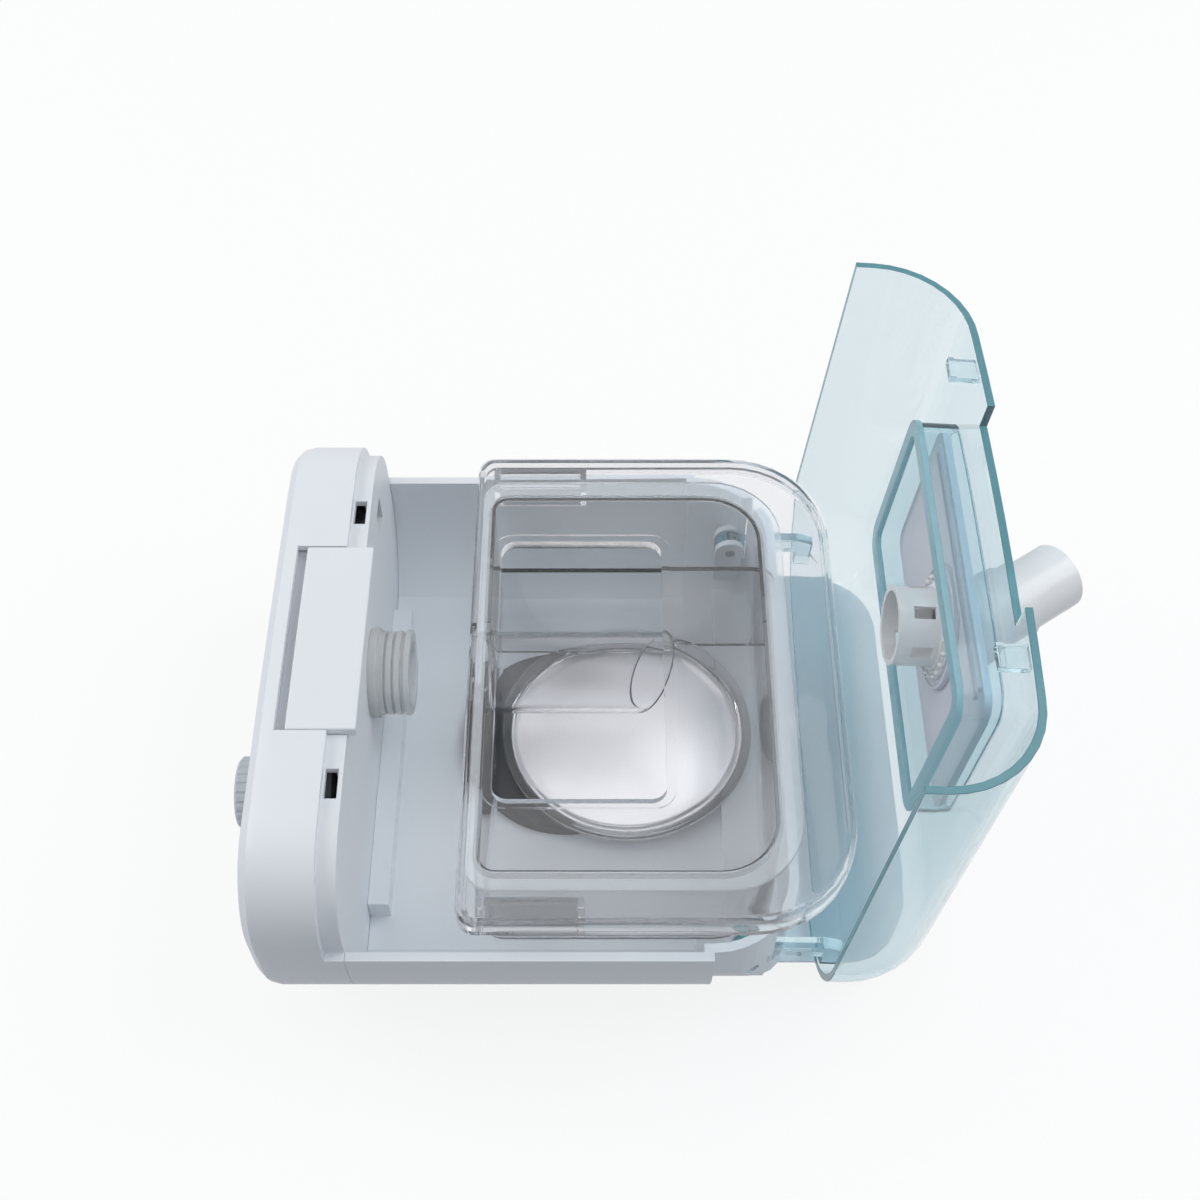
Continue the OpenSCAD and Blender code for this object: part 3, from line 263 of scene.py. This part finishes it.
FINISH = {
    "white_abs": spark_eroded_abs("white_abs_spark_eroded", "#E9ECF0", "#E4E8ED"),
    "grey_abs": spark_eroded_abs("grey_abs_moulded", "#C9CED2", "#C1C7CB", rough=0.5),
    "panel_white": spark_eroded_abs("control_panel_abs_satin", "#F1F3F5", "#ECEFF2", rough=0.34),
    "clear_polycarbonate": clear_moulding("clear_polycarbonate_moulded", "#FAFAFB",
                                          "#A9AEB6", 16.0, haze=0.02),
    "tinted_polycarbonate": clear_moulding("sea_blue_polycarbonate_moulded", "#F6F8F9",
                                           "#6CCBDC", 62.0, haze=0.05, passed="#DDEEF2"),
    "white_gloss": polished_mould("white_polypropylene_polished", "#EDEEEF", "#E6E8E9"),
    "clear_silicone": moulded_silicone("clear_silicone_moulded", "#F7F9FA", "#F1F4F5", 0.55),
    "grey_silicone": moulded_silicone("grey_silicone_moulded", "#8A9097", "#7F858C"),
    "seal_panel": spark_eroded_abs("grey_polypropylene_satin", "#D6D7E0", "#CFD1DA", rough=0.4),
    "rubber_foot": moulded_silicone("dark_rubber_moulded", "#3A3F45", "#33373C", rough=0.7),
    "black_anodised": dyed_oxide("black_anodised_aluminium", "#14171D", "#101318"),
    "pressed_steel": pressed_stainless("stainless_steel_pressed", disc_centre, 0.8 * MM),
    "zinc_steel": metal("zinc_plated_steel", "#B4BAC0", "#A4AAB1", 0.32, 1.5 * MM),
    "heater_foil": metal("etched_heater_foil", "#B9773A", "#A8682F", 0.4, 2 * MM),
    "dark_plastic": spark_eroded_abs("dark_nylon_moulded", "#2E3136", "#26292D", rough=0.5),
    "smoked_acrylic": polished_mould("smoked_acrylic_polished", "#1B2026", "#20262D", rough=0.1),
    "circuit_board": circuit_board("green_solder_mask_board"),
    # the second colour of foam and fleece is the pores' painted shade
    "grey_foam": open_foam("grey_acoustic_foam", "#6B7076", "#43474C", 1.2 * MM),
    "filter_fleece": open_foam("white_filter_fleece", "#F4F5F6", "#D6DADD", 0.9 * MM),
}
# The rim of a tinted moulding gathers the light of the whole sheet, so it reads as a solid line of
# its colour;
# that light is painted on the rim faces as an opaque sea-blue colour. The tank's gasket is nearly
# clear, and the lid's soft seal takes the lid's colour.
RIM_PAINTED_EDGE_LIGHT = moulded_silicone("sea_blue_rim_painted_edge_light", "#6AAEBB", "#5AA2B0", 0.4, rough=0.2)
GASKET_CLEAR = clear_moulding("clear_silicone_gasket", "#F6F8FA", "#C9CED4", 12.0,
                              haze=0.16, rough=0.12)
SEAL_SEA_BLUE = moulded_silicone("sea_blue_silicone_moulded", "#B5DCE4", "#A5D2DC", 0.55, rough=0.3)


# ---------------------------------------------------------------- pieces

def node_slot(node):
    """The record's material slot of a CAD node."""
    return next(p["material_slot"] for p in frame["record"]["subparts"] if p["node"] == node)


def node_body(node):
    """The CAD body that a node belongs to."""
    return next(b for b, members in frame["record"]["behaviour"]["bodies"].items()
                if node in members)


def joint(name):
    """A joint of the record by its name."""
    return next(j for j in frame["record"]["behaviour"]["joints"] if j["name"] == name)


def new_piece(name, form, finish, body_of):
    """Makes a finished mesh into a piece that rides with a CAD node, with the finish of a slot."""
    mesh = bpy.data.meshes.new(name)
    form.to_mesh(mesh)
    form.free()
    mesh.materials.append(FINISH[finish])
    piece = bpy.data.objects.new(name, mesh)
    bpy.context.scene.collection.objects.link(piece)
    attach(piece, node_body(body_of))
    return piece


def dress(node):
    """Gives a carried-over CAD node its finish."""
    held = frame["nodes"][node]
    held.data.materials.clear()
    held.data.materials.append(FINISH[node_slot(node)])


def rounded(node, width, finish=None, rim=None, rim_finish=None):
    """Stands for a CAD node with the same form, its sharp edges rounded as a mould leaves them.

    rim says which of its faces take the rim's finish."""
    mesh = frame["nodes"][node].data.copy()
    mesh.materials.clear()
    mesh.materials.append(finish or FINISH[node_slot(node)])
    if rim:
        mesh.materials.append(rim_finish)
    piece = bpy.data.objects.new(node + "_moulded", mesh)
    bpy.context.scene.collection.objects.link(piece)
    form = bmesh.new()
    form.from_mesh(mesh)
    bmesh.ops.remove_doubles(form, verts=form.verts, dist=0.002 * MM)
    bmesh.ops.dissolve_limit(form, angle_limit=math.radians(0.6), verts=form.verts,
                             edges=form.edges, delimit={"NORMAL"})
    limit = math.radians(SMOOTH_BELOW)
    for face in form.faces:
        face.smooth = True
        face.material_index = 1 if rim and rim(face) else 0
    for edge in form.edges:
        edge.smooth = edge.calc_face_angle(0.0) < limit
    form.to_mesh(mesh)
    form.free()
    round_over = piece.modifiers.new("moulded_edge", "BEVEL")
    round_over.width = width
    round_over.segments = 2
    round_over.limit_method = "ANGLE"
    round_over.angle_limit = limit
    round_over.harden_normals = True
    round_over.use_clamp_overlap = True
    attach(piece, node_body(node))
    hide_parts(node)
    return piece


LID_HINGE = joint("lid_hinge")
LID_PIN = Matrix.Translation(Vector(LID_HINGE["pos_m"]))
LID_TURN = Matrix.Rotation(math.radians(LID_HINGE["range_deg"][0]), 4, Vector(LID_HINGE["axis"]))
CLOSING = LID_PIN @ LID_TURN @ LID_PIN.inverted()      # from the open lid to the closed lid
OPENING = CLOSING.inverted()


def closed_box(node):
    """Lowest and highest corners of a lid node when the lid is closed."""
    spots = [CLOSING @ v.co for v in frame["nodes"][node].data.vertices]
    return (Vector(min(s[i] for s in spots) for i in range(3)),
            Vector(max(s[i] for s in spots) for i in range(3)))


lid_low = closed_box("lid_shell")[0]
RIM_BACK = 26 * MM           # the free edge steps back by less than this round the release plate
RIM_UP = 45 * MM             # the lower rim is less than this above the hinge arms' lowest point


def lid_rim(face):
    """The lid's lower rim and its free edge, whose faces get the painted edge light."""
    way = LID_TURN.to_3x3() @ face.normal
    spot = CLOSING @ face.calc_center_median()
    free = spot.x < lid_low.x + RIM_BACK
    lower = spot.z < lid_low.z + RIM_UP
    slanting = way.x < -0.35 and way.z < -0.35
    return abs(way.y) < 0.3 and ((free and way.x < -0.9) or (lower and way.z < -0.9)
                                 or ((free or lower) and slanting))


def plain_plate():
    """The release plate of the photograph is plain: its finger grooves are closed over.

    They end 11 mm short of the plate's sides and are less than 3 mm deep."""
    piece = rounded("latch_plate", EDGE_SHELL)
    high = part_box("latch_plate")[1]
    reach = high.y - 10.5 * MM
    floor = high.z - 3 * MM
    form = bmesh.new()
    form.from_mesh(piece.data)
    bmesh.ops.triangulate(form, faces=form.faces)
    grooves = {v for v in form.verts if abs(v.co.y) < reach and v.co.z > floor}
    bmesh.ops.delete(form, geom=[f for f in form.faces if all(v in grooves for v in f.verts)],
                     context="FACES")
    bmesh.ops.holes_fill(form, edges=[e for e in form.edges if e.is_boundary], sides=0)
    bmesh.ops.recalc_face_normals(form, faces=form.faces)
    bmesh.ops.dissolve_limit(form, angle_limit=math.radians(2), verts=form.verts, edges=form.edges)
    for face in form.faces:
        face.smooth = True
    form.to_mesh(piece.data)
    form.free()


def soft_springs():
    """A copy of the latch springs in plated steel that rides with their body. The real springs
    shorten as the release plate slides.
    """
    mesh = frame["nodes"]["latch_springs"].data.copy()
    mesh.materials.clear()
    mesh.materials.append(FINISH["zinc_steel"])
    piece = bpy.data.objects.new("latch_springs_coiled", mesh)
    bpy.context.scene.collection.objects.link(piece)
    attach(piece, node_body("latch_springs"))
    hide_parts("latch_springs")
    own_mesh(piece)


def cage_teeth(count=22, stand=1.6 * MM, half=0.7 * MM, tall=2.6 * MM):
    """The ring of small rounded teeth that locks the outlet's cage to the seal panel."""
    low, high = closed_box("outlet_cage")
    axis = (low + high) / 2
    reach = (high.y - low.y) / 2
    base = closed_box("lid_panel")[0].z
    clear, sunk = 0.3 * MM, 0.2 * MM         # off the cage's side, and into the panel
    form = bmesh.new()
    for k in range(count):
        turn = Matrix.Rotation(2 * math.pi * k / count, 4, "Z")
        for v in bmesh.ops.create_cube(form, size=1.0)["verts"]:
            v.co = turn @ Vector((reach + stand / 2 + clear + v.co.x * stand, v.co.y * 2 * half,
                                  v.co.z * tall))
            v.co += Vector((axis.x, axis.y, base - tall / 2 + sunk))
    bmesh.ops.bevel(form, geom=form.edges[:], offset=0.35 * MM, segments=2, affect="EDGES")
    bmesh.ops.transform(form, matrix=OPENING, verts=form.verts)
    for face in form.faces:
        face.smooth = True
    new_piece("cage_teeth", form, "white_gloss", "lid_panel")


def tank_baffle():
    """A thin clear wall across the tank that calms the water, with a rounded free corner."""
    low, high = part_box("tank_body")
    y0, y1 = 44.0 * MM, 45.8 * MM
    x0, x1 = low.x + 4.4 * MM, high.x - 16 * MM
    z0, z1 = low.z + 2.0 * MM, 70 * MM
    corner, steps = 9 * MM, 8
    outline = [(x0, z0), (x1, z0)]
    outline += [(x1 - corner + corner * math.cos(a), z1 - corner + corner * math.sin(a))
                for a in (math.pi / 2 * k / steps for k in range(steps + 1))]
    outline += [(x0, z1)]
    form = bmesh.new()
    near = [form.verts.new((x, y0, z)) for x, z in outline]
    far = [form.verts.new((x, y1, z)) for x, z in outline]
    form.faces.new(near)
    form.faces.new(far[::-1])
    for k in range(len(outline)):
        n = (k + 1) % len(outline)
        form.faces.new((near[n], near[k], far[k], far[n]))
    bmesh.ops.recalc_face_normals(form, faces=form.faces)
    new_piece("tank_baffle", form, "clear_polycarbonate", "tank_body")


SHELLS = ["base_tub", "front_housing", "front_panel", "filter_cover", "base_plate",
          "port_seal", "heater_plate"]
CLEAR = ["lid_seal_box", "tank_body", "tank_cover", "tank_tube", "disc_ring",
         "tank_grips"]
SMALL = ["lid_clips", "lid_panel", "cage_ring", "outlet_cage", "outlet_connector",
         "control_knob", "power_key", "menu_key", "ramp_key", "feet", "tank_disc"]
ALONE = ["lid_shell", "lid_seal", "latch_plate", "tank_gasket", "latch_springs"]

for node in SHELLS:
    rounded(node, EDGE_SHELL)
for node in CLEAR:
    rounded(node, EDGE_CLEAR)
# the lid's rim faces take the painted edge light
rounded("lid_shell", EDGE_CLEAR, rim=lid_rim, rim_finish=RIM_PAINTED_EDGE_LIGHT)
rounded("lid_seal", EDGE_SMALL, finish=SEAL_SEA_BLUE)
plain_plate()
rounded("tank_gasket", EDGE_SMALL, finish=GASKET_CLEAR)
soft_springs()
cage_teeth()
tank_baffle()
for node in SMALL:
    rounded(node, EDGE_SMALL)
for node in frame["nodes"]:
    if node not in SHELLS + CLEAR + SMALL + ALONE:
        dress(node)


# ---------------------------------------------------------------- stage, light and camera

def straight_sight(tree):
    """1 for what the eye, a mirror or a clear wall looks at, 0 for light on its way round."""
    path = add(tree, "LightPath")
    seen = add(tree, "Math", {}, {0: path.outputs["Is Camera Ray"],
                                  1: path.outputs["Is Transmission Ray"]}, operation="MAXIMUM")
    return add(tree, "Math", {}, {0: seen.outputs[0], 1: path.outputs["Is Glossy Ray"]},
               operation="MAXIMUM").outputs[0]


def white_stage():
    """A plain pale floor that keeps the machine's soft shadow and throws little light back up."""
    bpy.ops.mesh.primitive_plane_add(size=FLOOR_SIDE, location=(0, 0, -0.5 * MM))
    floor = bpy.context.object
    floor.name = "floor"
    material, tree, out = blank("white_floor")
    back = add(tree, "BsdfDiffuse", {"Color": linear("#8E959E")})
    paper = add(tree, "BsdfDiffuse", {"Color": linear("#F7F8F9")})
    glow = add(tree, "Emission", {"Color": (1, 1, 1, 1), "Strength": 1.0})
    white = add(tree, "MixShader", {"Fac": FLOOR_GLOW})
    tree.links.new(paper.outputs[0], white.inputs[1])
    tree.links.new(glow.outputs[0], white.inputs[2])
    mix = add(tree, "MixShader", links={"Fac": straight_sight(tree), 1: back.outputs[0],
                                        2: white.outputs[0]})
    tree.links.new(mix.outputs[0], out.inputs["Surface"])
    floor.data.materials.append(material)


def studio_world():
    """White to the eye, in glass and in metal; the dome that lights the machine is dimmer, bright
    overhead and falling off towards the table, so that the near side shades to grey."""
    world = bpy.data.worlds.new("studio")
    bpy.context.scene.world = world
    world.use_nodes = True
    tree = world.node_tree
    tree.nodes.clear()
    out = add(tree, "OutputWorld")
    way = add(tree, "TexCoord")
    height = add(tree, "SeparateXYZ", links={"Vector": way.outputs["Generated"]})
    fall = add(tree, "MapRange", {"From Min": 0.0, "From Max": 0.8, "To Min": 0.3, "To Max": 0.66},
               {"Value": height.outputs["Z"]})
    dome = add(tree, "Background", {"Color": linear("#F0F3F8")},
               {"Strength": fall.outputs["Result"]})
    seen = add(tree, "Background", {"Color": (1, 1, 1, 1), "Strength": 1.0})
    mix = add(tree, "MixShader", links={"Fac": straight_sight(tree), 1: dome.outputs[0],
                                        2: seen.outputs[0]})
    tree.links.new(mix.outputs[0], out.inputs["Surface"])


def soft_box(name, place, aim, side, power):
    """A large square white lamp that points at a place."""
    lamp = bpy.data.lights.new(name, "AREA")
    lamp.shape = "RECTANGLE"
    lamp.size = lamp.size_y = side
    lamp.energy = power
    holder = bpy.data.objects.new(name, lamp)
    bpy.context.scene.collection.objects.link(holder)
    holder.location = place
    holder.rotation_euler = (Vector(aim) - Vector(place)).to_track_quat("-Z", "Y").to_euler()


def photo_camera():
    """The photograph's view: from the near side, looking down 55 degrees on the machine."""
    eye = Vector((-17.0, -285.9, 524.5)) * MM
    target = Vector((-17.0, 39.3, 60.0)) * MM
    data = bpy.data.cameras.new("photo_view")
    data.lens = 48.3
    data.sensor_width = 36.0
    data.clip_start = 0.01
    camera = bpy.data.objects.new("photo_view", data)
    bpy.context.scene.collection.objects.link(camera)
    camera.location = eye
    camera.rotation_euler = (target - eye).to_track_quat("-Z", "Y").to_euler()
    bpy.context.scene.camera = camera


white_stage()
studio_world()
soft_box("key_lamp", (-1.1, 0.2, 0.75), (0, 0, 0.05), 0.9, 6.0)
soft_box("side_lamp", (0.75, 0.2, 0.95), (-0.05, 0, 0.05), 0.8, 5.0)
photo_camera()
bpy.context.scene.view_settings.view_transform = "Standard"
